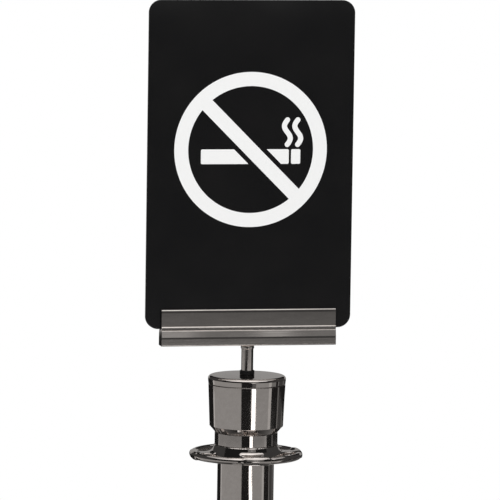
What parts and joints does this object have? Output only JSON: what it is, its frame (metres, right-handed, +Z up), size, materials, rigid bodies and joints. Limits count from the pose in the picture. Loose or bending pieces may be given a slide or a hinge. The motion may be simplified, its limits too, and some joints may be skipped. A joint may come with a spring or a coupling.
{
  "type": "no smoking sign",
  "caption": "Free-standing no smoking sign: a flat black panel in a slotted metal bar, on a rod from the cap of a polished rope post with a round weighted base.",
  "frame": {"origin": "middle of the base's underside, on the post's axis, at floor level", "axes": "+Z up along the post; the sign's printed face looks along -Y; +X runs along the slotted bar"},
  "size_m": [0.3556, 0.3556, 1.3353],
  "materials": {
    "black_acrylic": "glossy black sheet",
    "white_print": "white print",
    "polished_metal": "polished",
    "holder_metal": "polished, with a slight haze",
    "blackened_steel": "black oxide, oiled",
    "plain_steel": "plain machined",
    "cast_iron": "rough black",
    "black_rubber": "matt"
  },
  "bodies": {
    "root": {"sign_panel": "black_acrylic", "sign_holder": "holder_metal", "pinch_screw_left": "plain_steel", "pinch_screw_right": "plain_steel", "sign_rod": "polished_metal", "rod_lock_collar": "blackened_steel", "cap_lid": "polished_metal", "cap_body": "polished_metal", "neck_collar": "polished_metal", "rope_ring": "polished_metal", "post_tube": "polished_metal", "tube_top_plug": "plain_steel", "tie_rod": "plain_steel", "foot_collar": "polished_metal", "base_cover": "polished_metal", "base_weight": "cast_iron", "floor_ring": "black_rubber", "tie_rod_washer": "plain_steel", "tie_rod_nut": "plain_steel"}
  },
  "joints": []
}
